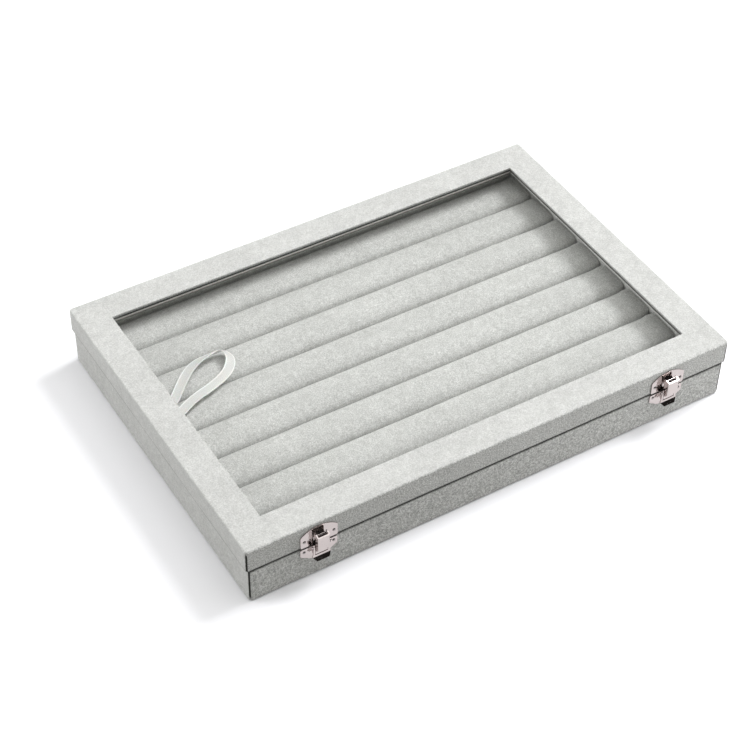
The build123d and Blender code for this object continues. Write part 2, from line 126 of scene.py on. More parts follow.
def ramp(tree, value, low, high, dark, light):
    """Spread a value from low to high over the colours from dark to light."""
    node = tree.nodes.new("ShaderNodeValToRGB")
    node.color_ramp.elements[0].position = low
    node.color_ramp.elements[1].position = high
    node.color_ramp.elements[0].color = (*dark, 1)
    node.color_ramp.elements[1].color = (*light, 1)
    tree.links.new(value, node.inputs["Fac"])
    return node.outputs["Color"]


def multiply(tree, one, other, share=None):
    """Two colours multiplied, all over or by a share that another socket gives."""
    node = tree.nodes.new("ShaderNodeMix")
    node.data_type = "RGBA"
    node.blend_type = "MULTIPLY"
    node.inputs["Factor"].default_value = 1
    if share is not None:
        tree.links.new(share, node.inputs["Factor"])
    tree.links.new(one, node.inputs[6])
    tree.links.new(other, node.inputs[7])
    return node.outputs[2]


def add_bump(tree, shader, height, distance, strength=1.0):
    """Drive the shader's normal with a height, raised by distance at most."""
    node = tree.nodes.new("ShaderNodeBump")
    node.inputs["Distance"].default_value = distance
    node.inputs["Strength"].default_value = strength
    tree.links.new(height, node.inputs["Height"])
    tree.links.new(node.outputs["Normal"], shader.inputs["Normal"])
    return node


print("material helpers ready")

# %% [markdown]
# ## Velvet
# Short velvet is matt, but its upright pile catches light at a glancing angle, which the shader's
# sheen gives. Its tone isn't even: the pile leans here and there, in patches of several millimetres,
# and single tufts make a fine grain. Noises of falling size are multiplied for that. On the front and
# rear a stronger grain is added as painted shade of the pile under glancing light. Its strength follows
# how much the surface faces front or rear, read from the object's own normal. Painted shade, nearly
# black, also darkens the corner slits, the seam between lid and base and the window's edge at the
# glass: the meshes carry it as a vertex attribute.

# %% Make the velvets
GRAIN_SCALE = 1150
TUFT_SCALE = 1050
MOTTLE_SCALE = 300
PATCH_SCALE = 120
CLOUD_SCALE = 20
# Tone of the painted shade in the corner slits, along the seam and at the window's edge.
PAINTED_SHADE_TONE = (0.03, 0.03, 0.026)


def front_share(tree):
    """1 where the surface faces front or rear, and 0 where it looks up or to a side."""
    place = tree.nodes.new("ShaderNodeTexCoord")
    parts = tree.nodes.new("ShaderNodeSeparateXYZ")
    tree.links.new(place.outputs["Normal"], parts.inputs["Vector"])
    size = tree.nodes.new("ShaderNodeMath")
    size.operation = "ABSOLUTE"
    tree.links.new(parts.outputs["Y"], size.inputs[0])
    share = tree.nodes.new("ShaderNodeMapRange")
    share.inputs["From Min"].default_value = 0.2
    share.inputs["From Max"].default_value = 0.85
    tree.links.new(size.outputs[0], share.inputs["Value"])
    return share.outputs["Result"]


def velvet(
    name, tone, grain=0.16, mottle=0.04, patch=0.07, cloud=0.05, pile_shade=0.37, raised=0.0003, sheen=0.25
):
    """A velvet of one tone. The shares say how much darker the low places of each pattern are."""
    material, tree, shader = finish_of(
        name, Roughness=0.92, Sheen_Weight=sheen, Sheen_Roughness=0.45, Specular_IOR_Level=0.12
    )
    fine = object_noise(tree, GRAIN_SCALE, detail=3.0, rough=0.65)
    patches = object_noise(tree, PATCH_SCALE, detail=4.0, rough=0.65)
    clouds = object_noise(tree, CLOUD_SCALE, detail=1.0)
    mottles = object_noise(tree, MOTTLE_SCALE, detail=2.0, rough=0.6)
    colour = ramp(tree, fine, 0.34, 0.66, [c * (1 - grain) for c in tone], [c * (1 + grain) for c in tone])
    colour = multiply(tree, colour, ramp(tree, patches, 0.36, 0.6, [1 - patch] * 3, [1] * 3))
    colour = multiply(tree, colour, ramp(tree, clouds, 0.35, 0.65, [1 - cloud] * 3, [1] * 3))
    colour = multiply(tree, colour, ramp(tree, mottles, 0.4, 0.6, [1 - mottle] * 3, [1 + mottle] * 3))
    if pile_shade:
        # Painted shade of the pile: the tufts' grain is made stronger on faces that look front or rear.
        share = front_share(tree)
        tufts = object_noise(tree, TUFT_SCALE, detail=2.0, rough=0.7)
        pile_shaded = ramp(tree, tufts, 0.38, 0.62, [1 - pile_shade] * 3, [1 + pile_shade * 0.7] * 3)
        colour = multiply(tree, colour, pile_shaded, share)
        # Painted shade, nearly black where a vertex attribute says so: corner slits, seam and window edge.
        painted_shade = tree.nodes.new("ShaderNodeAttribute")
        painted_shade.attribute_name = "painted_shade"
        colour = multiply(tree, colour, ramp(tree, painted_shade.outputs["Fac"], 0.15, 0.7, [1] * 3, PAINTED_SHADE_TONE))
    tree.links.new(colour, shader.inputs["Base Color"])
    add_bump(tree, shader, fine, raised)
    return material


cover_velvet = velvet("cover_velvet", (0.555, 0.558, 0.551))
roll_velvet = velvet("roll_velvet", (0.645, 0.647, 0.639), grain=0.22, mottle=0.045, pile_shade=0, sheen=0.4)
lining_velvet = velvet("lining_velvet", (0.70, 0.703, 0.69), grain=0.12, pile_shade=0)
print("velvets", cover_velvet.name, roll_velvet.name, lining_velvet.name)

# %% [markdown]
# ## Nickel, satin, glass and board
# The latches and hinges are stamped steel with bright nickel on it. Such thin stampings are never
# quite flat, so a long soft noise bends the reflections a little, and a fine one takes the edge off
# them. The small nails get a darker tone, which paints in the shade of the dark rims round their heads.
# Satin has a woven sheen along the ribbon and a closer, whiter weave at its two edges. The pane is plain
# float glass. Shadow rays and the light that goes from surface to surface pass straight through it,
# because a pane that blocked them would leave the rolls in the dark.

# %% Make the other finishes
NICKEL_TONE = (0.495, 0.444, 0.432, 1)
# The nails' darker tone is painted shade, for the dark rims round their heads.
NAIL_SHADE_TONE = (0.24, 0.22, 0.215, 1)
SATIN_TONE = (0.76, 0.76, 0.75)
SELVEDGE_TONE = (0.93, 0.93, 0.92)


def bright_metal(name, tone):
    """Plated steel, a little smudged and a little uneven."""
    material, tree, shader = finish_of(name, Base_Color=tone, Metallic=1.0)
    smudges = ramp(tree, object_noise(tree, 500), 0.3, 0.7, [0.09] * 3, [0.2] * 3)
    tree.links.new(smudges, shader.inputs["Roughness"])
    add_bump(tree, shader, object_noise(tree, 150, detail=1.0), 0.0001)
    return material


nickel = bright_metal("nickel", NICKEL_TONE)
shaded_nail_metal = bright_metal("shaded_nail_metal", NAIL_SHADE_TONE)

satin, satin_tree, satin_shader = finish_of(
    "satin", Roughness=0.42, Sheen_Weight=0.2, Sheen_Roughness=0.3, Subsurface_Weight=0.15,
    Subsurface_Scale=0.001,
)
across = satin_tree.nodes.new("ShaderNodeUVMap")
across.uv_map = "weave"
threads = satin_tree.nodes.new("ShaderNodeTexWave")
threads.inputs["Scale"].default_value = 9
threads.inputs["Distortion"].default_value = 0.6
threads.bands_direction = "Y"
satin_tree.links.new(across.outputs["UV"], threads.inputs["Vector"])
woven = ramp(satin_tree, threads.outputs["Fac"], 0, 1, [c * 0.9 for c in SATIN_TONE], SATIN_TONE)
sides_of = satin_tree.nodes.new("ShaderNodeSeparateXYZ")
satin_tree.links.new(across.outputs["UV"], sides_of.inputs["Vector"])
from_middle = satin_tree.nodes.new("ShaderNodeMath")
from_middle.operation = "ABSOLUTE"
satin_tree.links.new(sides_of.outputs["Y"], from_middle.inputs[0])
at_edge = satin_tree.nodes.new("ShaderNodeMapRange")
at_edge.inputs["From Min"].default_value = 0.36
at_edge.inputs["From Max"].default_value = 0.42
satin_tree.links.new(from_middle.outputs[0], at_edge.inputs["Value"])
bordered = satin_tree.nodes.new("ShaderNodeMix")
bordered.data_type = "RGBA"
bordered.inputs[7].default_value = (*SELVEDGE_TONE, 1)
satin_tree.links.new(at_edge.outputs["Result"], bordered.inputs["Factor"])
satin_tree.links.new(woven, bordered.inputs[6])
satin_tree.links.new(bordered.outputs[2], satin_shader.inputs["Base Color"])
add_bump(satin_tree, satin_shader, threads.outputs["Fac"], 0.00004)

pane, pane_tree, pane_shader = finish_of(
    "pane", Base_Color=(0.982, 0.985, 0.982, 1), Roughness=0.0, IOR=1.46, Transmission_Weight=1.0
)
paths = pane_tree.nodes.new("ShaderNodeLightPath")
clear = pane_tree.nodes.new("ShaderNodeBsdfTransparent")
clear.inputs["Color"].default_value = (0.945, 0.948, 0.945, 1)
passing = pane_tree.nodes.new("ShaderNodeMath")
passing.operation = "MAXIMUM"
pane_tree.links.new(paths.outputs["Is Shadow Ray"], passing.inputs[0])
pane_tree.links.new(paths.outputs["Is Diffuse Ray"], passing.inputs[1])
choose = pane_tree.nodes.new("ShaderNodeMixShader")
pane_tree.links.new(passing.outputs[0], choose.inputs["Fac"])
pane_tree.links.new(pane_shader.outputs["BSDF"], choose.inputs[1])
pane_tree.links.new(clear.outputs["BSDF"], choose.inputs[2])
pane_tree.links.new(choose.outputs["Shader"], pane_tree.nodes["Material Output"].inputs["Surface"])


def fibre(name, dark, light, scale, raised, rough=0.85, stretch=(1, 1, 1)):
    """Board, card or felt: a matt surface with a fibrous tone and a little relief."""
    material, tree, shader = finish_of(name, Roughness=rough, Specular_IOR_Level=0.25)
    strands = object_noise(tree, scale, detail=5.0, rough=0.7, stretch=stretch)
    tree.links.new(ramp(tree, strands, 0.3, 0.7, dark, light), shader.inputs["Base Color"])
    add_bump(tree, shader, strands, raised)
    return material


board = fibre("fibreboard", (0.30, 0.20, 0.12), (0.45, 0.32, 0.20), 420, 0.0002)
card = fibre("grey_card", (0.36, 0.35, 0.32), (0.48, 0.47, 0.44), 650, 0.0001)
felt = fibre("underside_felt", (0.30, 0.31, 0.30), (0.42, 0.43, 0.42), 900, 0.0003, rough=0.95)
print("other finishes", nickel.name, satin.name, pane.name, board.name, card.name, felt.name)

# %% [markdown]
# ## Dress the frame's own pieces
# The boards, the linings on card, the pane and the nails have their right shape in the frame, so they
# only get a finish. A table of name beginnings says which finish each takes.

# %% Finish the pieces that stay
FINISH_OF = {
    "underside_sheet": felt,
    "base_floor_board": board,
    "base_front_board": board,
    "base_rear_board": board,
    "base_left_board": board,
    "base_right_board": board,
    "lid_rail": board,
    "base_lining": lining_velvet,
    "lid_lining": lining_velvet,
    "insert_board": card,
    "insert_end": roll_velvet,
    "padded_roll": roll_velvet,
    "base_cover": cover_velvet,
    "lid_cover": cover_velvet,
    "glass_pane": pane,
    "ribbon_pull": satin,
    "latch_plate_nails": shaded_nail_metal,
    "latch_strike_nails": shaded_nail_metal,
    "hinge_base_nails": shaded_nail_metal,
    "hinge_lid_nails": shaded_nail_metal,
}

for node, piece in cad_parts.items():
    found = [m for start, m in FINISH_OF.items() if node.startswith(start)] or [nickel]
    piece.data.materials.clear()
    piece.data.materials.append(found[0])
print("dressed", len(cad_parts), "pieces of the frame")

# %% [markdown]
# ## The satin pull
# The pull is a satin ribbon. Both ends go down into the slit beside the rolls, and between them it
# lies in a loop over the rolls. Its middle line is a smooth NURBS curve through the frame's route.
# A ribbon can't bend sideways in its own plane, so the real loop stands partly on its edge behind the
# tip. Here the strip is flat where it comes out of the slit and leans over more and more towards that
# place. The strip's cross-section is carried along the line by extruding it from point to point.

# %% Draw the ribbon's line
ribbon_low, ribbon_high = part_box("ribbon_pull")
SLIT_X = -0.16305
RIBBON_Z = 0.0323
RIBBON_TAIL = 0.016
RIBBON_ROUTE = [
    (SLIT_X, 0.0200, RIBBON_TAIL),
    (SLIT_X, 0.0200, RIBBON_Z),
    (-0.1515, 0.0195, RIBBON_Z),
    (-0.1435, 0.0280, RIBBON_Z),
    (-0.1315, 0.0400, RIBBON_Z),
    (-0.1215, 0.0462, RIBBON_Z),
    (-0.1110, 0.0480, RIBBON_Z),
    (-0.1023, 0.0492, RIBBON_Z),
    (-0.0996, 0.0400, RIBBON_Z),
    (-0.1052, 0.0308, RIBBON_Z),
    (-0.1130, 0.0252, RIBBON_Z),
    (-0.1245, 0.0208, RIBBON_Z),
    (-0.1355, 0.0180, RIBBON_Z),
    (-0.1445, 0.0140, RIBBON_Z),
    (-0.1525, 0.0090, RIBBON_Z),
    (SLIT_X, 0.0090, RIBBON_Z),
    (SLIT_X, 0.0090, RIBBON_TAIL),
]

route = bpy.data.curves.new("ribbon_route", "CURVE")
route.dimensions = "3D"
spline = route.splines.new("NURBS")
spline.points.add(len(RIBBON_ROUTE) - 1)
for point, place in zip(spline.points, RIBBON_ROUTE):
    point.co = (*place, 1)
spline.order_u = 3
spline.use_endpoint_u = True
spline.resolution_u = 8
route_object = bpy.data.objects.new("ribbon_route", route)
line = bpy.data.meshes.new_from_object(route_object)
ribbon_line = [v.co.copy() for v in line.vertices]
bpy.data.objects.remove(route_object)
ribbon_length = sum((b - a).length for a, b in zip(ribbon_line, ribbon_line[1:]))
print("ribbon line", len(ribbon_line), "points,", round(ribbon_length, 4), "m long")

# %% Sweep the ribbon's section along it
RIBBON_WIDTH = 0.0065
RIBBON_THICK = 0.0003
SELVEDGE = 0.0006
LEAN_AT_REAR = math.radians(-46)
LEAN_SHARE = 0.42
LEAN_SPREAD = 0.13


def ribbon_frame(index):
    """Tangent, width direction and face direction at a point of the ribbon's line."""
    before = ribbon_line[max(index - 1, 0)]
    after = ribbon_line[min(index + 1, len(ribbon_line) - 1)]
    tangent = (after - before).normalized()
    flat = Vector((-tangent.y, tangent.x, 0))
    share = index / (len(ribbon_line) - 1)
    if flat.length < 0.2:
        flat = Vector((0, 1 if share < 0.5 else -1, 0))
    flat.normalize()
    lean = LEAN_AT_REAR * math.exp(-(((share - LEAN_SHARE) / LEAN_SPREAD) ** 2))
    width = Matrix.Rotation(lean, 3, tangent) @ flat
    return tangent, width, tangent.cross(width)


def new_piece(name, bm, material, body, smooth_angle=40):
    """Make an object of a finished bmesh, shade it smooth up to an angle, and let it ride on a body."""
    mesh = bpy.data.meshes.new(name)
    bm.to_mesh(mesh)
    bm.free()
    mesh.materials.append(material)
    mesh.polygons.foreach_set("use_smooth", [True] * len(mesh.polygons))
    mesh.set_sharp_from_angle(angle=math.radians(smooth_angle))
    piece = bpy.data.objects.new(name, mesh)
    bpy.context.scene.collection.objects.link(piece)
    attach(piece, body)
    return piece


def flat_faces(piece):
    """Let the large faces set the normals, so that only the rounded edges between them shade as curves."""
    even = piece.modifiers.new("flat_faces", "WEIGHTED_NORMAL")
    even.weight = 100
    even.keep_sharp = True


half_width = RIBBON_WIDTH / 2
half_thick = RIBBON_THICK / 2
section = [
    (-half_width, -half_thick * 1.6),
    (-half_width + SELVEDGE, -half_thick),
    (0, -half_thick),
    (half_width - SELVEDGE, -half_thick),
    (half_width, -half_thick * 1.6),
    (half_width, half_thick * 1.6),
    (half_width - SELVEDGE, half_thick),
    (0, half_thick),
    (-half_width + SELVEDGE, half_thick),
    (-half_width, half_thick * 1.6),
]

bm = bmesh.new()
strip_end = bm.faces.new([bm.verts.new(ribbon_line[0]) for _ in section])
for index in range(len(ribbon_line)):
    if index:
        grown = bmesh.ops.extrude_face_region(bm, geom=[strip_end])
        before = strip_end
        strip_end = next(g for g in grown["geom"] if isinstance(g, bmesh.types.BMFace))
        if index > 1:
            bmesh.ops.delete(bm, geom=[before], context="FACES_ONLY")
    tangent, width, up = ribbon_frame(index)
    for vertex, (along, off) in zip(strip_end.verts, section):
        vertex.co = ribbon_line[index] + width * along + up * off
bmesh.ops.recalc_face_normals(bm, faces=bm.faces)
weave = bm.loops.layers.uv.new("weave")
for face in bm.faces:
    for loop in face.loops:
        near = min(range(len(ribbon_line)), key=lambda i: (ribbon_line[i] - loop.vert.co).length_squared)
        offset = (loop.vert.co - ribbon_line[near]).dot(ribbon_frame(near)[1])
        loop[weave].uv = (near / len(ribbon_line) * ribbon_length / RIBBON_WIDTH, offset / RIBBON_WIDTH)
ribbon = new_piece("satin_pull", bm, satin, "insert", smooth_angle=60)
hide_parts("ribbon_pull")
print("ribbon faces", len(ribbon.data.polygons))

# %% [markdown]
# ## The wrapped velvet
# On the real box one strip of velvet goes round the walls and is folded over their edges. It meets
# itself at the corners in a narrow dark slit, which lies nearer the front at the right front corner.
# The same steps make both halves: a block the size of
# the half, an inset that opens it at the top and bottom, soft edges, and a fine V-shaped groove down
# each corner, with painted shade in it. Painted shade also darkens the rims' rounding at the seam
# between lid and base, and the lid's window edge at the glass. Long edges are divided, so that a slow
# noise can make the walls a little uneven. A Solidify modifier gives the cloth its thickness, inwards,
# so the outside stays where the frame has it.

# %% Helpers for the wrapped velvet
CLOTH = 0.0008
WALL_IN = 0.0062
TURN_UNDER = 0.012
CORNER_ROUND = 0.002
CORNER_STEPS = 8
SLIT_SHIFT = 2
GROOVE_DEPTH = 0.00026
RIM_ROUND = 0.001
# Width and strength of the paler painted shade beyond a rim's rounding at the seam.
SEAM_SHADE_BAND = 0.0006
SEAM_SHADE_SHARE = 0.5
BETWEEN_DIVISIONS = 0.012
UNEVEN = 0.00016


def block(low, high):
    """A bmesh block between two corners."""
    bm = bmesh.new()
    bmesh.ops.create_cube(bm, size=1)
    bmesh.ops.scale(bm, vec=high - low, verts=bm.verts)
    bmesh.ops.translate(bm, vec=(low + high) / 2, verts=bm.verts)
    return bm


def open_face(bm, direction, inset):
    """Inset the face that looks in a direction and remove its middle, so that a rim is left."""
    bm.normal_update()
    face = next(f for f in bm.faces if f.normal.dot(Vector(direction)) > 0.9)
    bmesh.ops.inset_region(bm, faces=[face], thickness=inset, use_even_offset=True)
    bmesh.ops.delete(bm, geom=[face], context="FACES_ONLY")


def soften(bm, edges, radius, steps):
    """Round edges off."""
    return bmesh.ops.bevel(
        bm, geom=edges, offset=radius, segments=steps, affect="EDGES", profile=0.5, material=-1,
        clamp_overlap=True,
    )


def upright_edges(bm, shortest):
    """The edges that stand upright and are longer than a length."""
    found = []
    for edge in bm.edges:
        along = edge.verts[0].co - edge.verts[1].co
        if along.length > shortest and abs(along.z) > 0.95 * along.length:
            found.append(edge)
    return found


def rim_edges(bm, height, outer):
    """The edges of the outer rim at a height."""
    def on_outline(vertex):
        inside = min(outer.x - abs(vertex.co.x), outer.y - abs(vertex.co.y))
        return inside < CORNER_ROUND and abs(vertex.co.z - height) < 1e-6
    edges = [e for e in bm.edges if all(on_outline(v) for v in e.verts)]
    return [e for e in edges if len(e.link_faces) == 2 and e.calc_face_angle(0) > 0.6]


def groove_corners(bm, outer, low, high):
    """Press the middle of each rounded corner inwards between two heights, and paint shade into that slit."""
    painted_shade = bm.verts.layers.float.new("painted_shade")
    centre = Vector((outer.x - CORNER_ROUND, outer.y - CORNER_ROUND))
    step = math.pi / 2 / CORNER_STEPS
    for vertex in bm.verts:
        reach = Vector((abs(vertex.co.x), abs(vertex.co.y))) - centre
        if min(reach) < -1e-6 or abs(reach.length - CORNER_ROUND) > 1e-4 or not low <= vertex.co.z <= high:
            continue
        slit = math.pi / 4 + (SLIT_SHIFT * step if vertex.co.x > 0 > vertex.co.y else 0)
        away = abs(math.atan2(reach.y, reach.x) - slit) / step
        share = 1 if away < 1.5 else 0
        inward = Vector((-math.copysign(1, vertex.co.x), -math.copysign(1, vertex.co.y), 0)).normalized()
        vertex.co += inward * GROOVE_DEPTH * share
        # The same share is the slit's painted shade.
        vertex[painted_shade] = share
    return sum(vertex[painted_shade] > 0 for vertex in bm.verts)


def paint_seam_shade(bm, outer, height, inward):
    """Paint shade on the rounding of a rim at the seam: darkest next to the rim's flat face, paler over the rest of the
    rounding and a narrow band beyond it.
    """
    painted_shade = bm.verts.layers.float["painted_shade"]
    bmesh.ops.bisect_plane(
        bm, geom=bm.verts[:] + bm.edges[:] + bm.faces[:], dist=1e-5,
        plane_co=(0, 0, height + inward * (RIM_ROUND + SEAM_SHADE_BAND)), plane_no=(0, 0, 1),
    )
    for vertex in bm.verts:
        inset = min(outer.x - abs(vertex.co.x), outer.y - abs(vertex.co.y))
        depth = (vertex.co.z - height) * inward
        if inset < RIM_ROUND * 0.9 and 1e-5 < depth < RIM_ROUND + SEAM_SHADE_BAND / 2:
            vertex[painted_shade] = max(vertex[painted_shade], 0.9 if depth < RIM_ROUND * 0.3 else SEAM_SHADE_SHARE)


def divide_long(bm):
    """Divide the edges that are much longer than the cloth's unevenness."""
    for axis in range(3):
        long = [
            e for e in bm.edges
            if abs(e.verts[0].co[axis] - e.verts[1].co[axis]) > 2 * BETWEEN_DIVISIONS
        ]
        if long:
            cuts = int(max(e.calc_length() for e in long) / BETWEEN_DIVISIONS)
            bmesh.ops.subdivide_edges(bm, edges=long, cuts=cuts, use_grid_fill=True)


def uneven_walls(bm, outer, seed):
    """Move the outer walls in a little here and there, with a slow noise."""
    for vertex in bm.verts:
        inside_x = outer.x - abs(vertex.co.x)
        inside_y = outer.y - abs(vertex.co.y)
        if min(inside_x, inside_y) > 1e-5:
            continue
        press = UNEVEN * max(0.0, noise.noise(vertex.co * 28 + Vector((seed, seed, seed))) + 0.2)
        if inside_x < inside_y:
            vertex.co.x -= math.copysign(press, vertex.co.x)
        else:
            vertex.co.y -= math.copysign(press, vertex.co.y)


def wrapped(name, bm, body, node):
    """Turn a finished outside into a piece of velvet cloth."""
    bmesh.ops.remove_doubles(bm, verts=bm.verts, dist=1e-6)
    bmesh.ops.recalc_face_normals(bm, faces=bm.faces)
    piece = new_piece(name, bm, cover_velvet, body)
    thick = piece.modifiers.new("cloth", "SOLIDIFY")
    thick.thickness = CLOTH
    thick.offset = -1
    flat_faces(piece)
    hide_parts(node)
    return piece


print("wrapping helpers ready")

# %% Wrap the base
FOOT_ROUND = 0.0012
base_low, base_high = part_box("base_cover")
bm = block(base_low, base_high)
open_face(bm, (0, 0, 1), WALL_IN)
open_face(bm, (0, 0, -1), TURN_UNDER)
soften(bm, upright_edges(bm, 0.01), CORNER_ROUND, CORNER_STEPS)
soften(bm, rim_edges(bm, base_high.z, base_high), RIM_ROUND, 3)
soften(bm, rim_edges(bm, base_low.z, base_high), FOOT_ROUND, 3)
bmesh.ops.subdivide_edges(bm, edges=upright_edges(bm, 0.01), cuts=6, use_grid_fill=True)
print("pressed", groove_corners(bm, base_high, base_low.z + 0.0015, base_high.z - 0.0008), "points")
paint_seam_shade(bm, base_high, base_high.z, -1)
divide_long(bm)
uneven_walls(bm, base_high, 3.1)
base_velvet = wrapped("base_velvet", bm, "base", "base_cover")
print("base velvet faces", len(base_velvet.data.polygons))

# %% Wrap the lid
WINDOW_RAIL = 0.021
WINDOW_DROP = 0.003
TOP_ROUND = 0.0017
WINDOW_ROUND = 0.0006
lid_low, lid_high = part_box("lid_cover")
bm = block(lid_low, lid_high)
open_face(bm, (0, 0, 1), WINDOW_RAIL)
open_face(bm, (0, 0, -1), WALL_IN)
soften(bm, upright_edges(bm, 0.008), CORNER_ROUND, CORNER_STEPS)
soften(bm, rim_edges(bm, lid_high.z, lid_high), TOP_ROUND, 4)
soften(bm, rim_edges(bm, lid_low.z, lid_high), RIM_ROUND, 3)
bmesh.ops.subdivide_edges(bm, edges=upright_edges(bm, 0.008), cuts=4, use_grid_fill=True)
window = [e for e in bm.edges if e.is_boundary and e.verts[0].co.z > lid_high.z - 1e-4]
drop = bmesh.ops.extrude_edge_only(bm, edges=window)
lowered = [g for g in drop["geom"] if isinstance(g, bmesh.types.BMVert)]
bmesh.ops.translate(bm, vec=(0, 0, -WINDOW_DROP), verts=lowered)
bm.normal_update()
lip = [
    e for e in bm.edges
    if not e.is_boundary and all(v.co.z > lid_high.z - 1e-5 for v in e.verts) and e.calc_face_angle(0) > 1.2
]
soften(bm, lip, WINDOW_ROUND, 3)
print("pressed", groove_corners(bm, lid_high, lid_low.z + 0.0006, lid_high.z - 0.0022), "points")
# Painted shade, nearly black, along the window's edge where the cloth meets the glass.
painted_shade = bm.verts.layers.float["painted_shade"]
for vertex in bm.verts:
    if vertex.is_boundary and vertex.co.z > lid_high.z - 2 * WINDOW_DROP:
        vertex[painted_shade] = 0.9
paint_seam_shade(bm, lid_high, lid_low.z, 1)
divide_long(bm)
uneven_walls(bm, lid_high, 7.7)
lid_velvet = wrapped("lid_velvet", bm, "lid", "lid_cover")
print("lid velvet faces", len(lid_velvet.data.polygons))

# %% [markdown]
# ## Velvet on card
# The linings of the base and lid and the two upright ends of the insert are card with velvet glued
# on. A card's edge is sharp, but cloth goes round it in a small curve. A copy of each is merged, its
# flat areas are cleaned of needless edges, and its sharp edges are rounded.

# %% Round the lined card
CARD_ROUND = 0.0005
SHARP = math.radians(35)


def rounded_copy(node, name, body, material, radius, steps):
    """A copy of a node with rounded edges, which stands for it."""
    bm = bmesh.new()
    bm.from_mesh(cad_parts[node].data)
    bmesh.ops.remove_doubles(bm, verts=bm.verts, dist=1e-6)
    bmesh.ops.dissolve_limit(bm, angle_limit=math.radians(0.5), verts=bm.verts, edges=bm.edges)
    bm.normal_update()
    sharp = [e for e in bm.edges if len(e.link_faces) == 2 and e.calc_face_angle(0) > SHARP]
    soften(bm, sharp, radius, steps)
    piece = new_piece(name, bm, material, body, smooth_angle=50)
    flat_faces(piece)
    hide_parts(node)
    return piece


for side in SIDES:
    rounded_copy(f"base_lining_{side}", f"base_lined_{side}", "base", lining_velvet, CARD_ROUND, 3)
    rounded_copy(f"lid_lining_{side}", f"lid_lined_{side}", "lid", lining_velvet, CARD_ROUND, 3)
for end in ENDS:
    rounded_copy(f"insert_end_{end}", f"insert_lined_{end}", "insert", roll_velvet, CARD_ROUND, 3)
print("lined cards", 2 * len(SIDES) + len(ENDS))

# %% [markdown]
# ## The padded rolls
# Each roll is a round bar of foam in a velvet sleeve, glued down on its flat side. A half outline is
# spun about the roll's axis. The outline drops near both ends, where the sleeve is drawn in, and its
# length is divided finely, so that a slow noise can give the crest the small rises and dips of
# hand-made padding. Squeezed between their neighbours and pressed by what they hold, the rolls
# aren't round: they have a low flat top and full shoulders, which a superellipse gives, and fuller
# still at the walls. On the side without the pull, the sleeve's end bulges to the wall.

# %% Pad the rolls
ROLL_COUNT = 8
END_ROUND = 0.0009
DROOP = 0.0010
DROOP_RUN = 0.008
ALONG_STEP = 0.004
ROUND_STEPS = 96
SWELL = 0.0005
FULL_MIDDLE = 3.2
FULL_END = 7.0
FULL_RUN = 0.010
PRESSED = 0.87
WALL_REACH = 0.0008


def roll_outline(start, end, radius):
    """Half outline of a roll: distance along it and from its axis, from one end's middle to the other's."""
    length = end - start
    points = [(0.0, 0.0)]
    for step in range(7):
        turn_by = math.pi / 2 * step / 6
        points.append((END_ROUND * (1 - math.cos(turn_by)), radius - END_ROUND + END_ROUND * math.sin(turn_by)))
    count = int((length / 2 - END_ROUND) / ALONG_STEP)
    for step in range(1, count + 1):
        points.append((END_ROUND + (length / 2 - END_ROUND) * step / count, radius))
    drooped = []
    for along, out in points:
        fall = DROOP * max(0.0, 1 - along / DROOP_RUN) ** 2 * out / radius
        drooped.append((along, out - fall))
    mirrored = [(length - along, out) for along, out in reversed(drooped[:-1])]
    return [(start + along, out) for along, out in drooped + mirrored]


def padded_roll(number):
    """One padded roll in the place of its node."""
    node = f"padded_roll_{number}"
    low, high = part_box(node)
    middle_y = (low.y + high.y) / 2
    radius = (high.y - low.y) / 2
    axis_z = high.z - radius
    bm = bmesh.new()
    outline = [bm.verts.new((x, middle_y, axis_z + out)) for x, out in roll_outline(low.x, high.x + WALL_REACH, radius)]
    edges = [bm.edges.new(pair) for pair in zip(outline, outline[1:])]
    bmesh.ops.spin(
        bm, geom=outline + edges, cent=(0, middle_y, axis_z), axis=(1, 0, 0), angle=2 * math.pi,
        steps=ROUND_STEPS, use_merge=True,
    )
    bmesh.ops.remove_doubles(bm, verts=bm.verts, dist=1e-6)
    bmesh.ops.recalc_face_normals(bm, faces=bm.faces)
    for vertex in bm.verts:
        out = Vector((vertex.co.y - middle_y, vertex.co.z - axis_z))
        to_end = min(vertex.co.x - low.x, high.x + WALL_REACH - vertex.co.x)
        full = FULL_MIDDLE + (FULL_END - FULL_MIDDLE) * max(0.0, 1 - to_end / FULL_RUN) ** 2
        if out.length > 1e-6:
            turn_of = out.normalized()
            shape = (abs(turn_of.x) ** full + abs(turn_of.y) ** full) ** (-1 / full)
            vertex.co.y = middle_y + out.x * shape
            vertex.co.z = axis_z + out.y * shape * (PRESSED if out.y > 0 else 1)
        upward = max(0.0, (vertex.co.z - axis_z) / radius)
        place = Vector((vertex.co.x * 22, number * 3.7, upward))
        fine = Vector((vertex.co.x * 75, number * 5.3, vertex.co.y * 60))
        vertex.co.z += SWELL * upward ** 2 * (noise.noise(place) * 0.8 + noise.noise(fine) * 0.35 - 0.2)
    cut = bmesh.ops.bisect_plane(
        bm, geom=bm.verts[:] + bm.edges[:] + bm.faces[:], plane_co=(0, 0, low.z), plane_no=(0, 0, -1),
        clear_outer=True,
    )
    rim = [g for g in cut["geom_cut"] if isinstance(g, bmesh.types.BMEdge)]
    bmesh.ops.holes_fill(bm, edges=rim)
    bmesh.ops.recalc_face_normals(bm, faces=bm.faces)
    roll = new_piece(f"velvet_roll_{number}", bm, roll_velvet, "insert", smooth_angle=50)
    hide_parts(node)
    return roll


rolls = [padded_roll(number) for number in range(1, ROLL_COUNT + 1)]
print("rolls", len(rolls), "of", len(rolls[0].data.polygons), "faces")

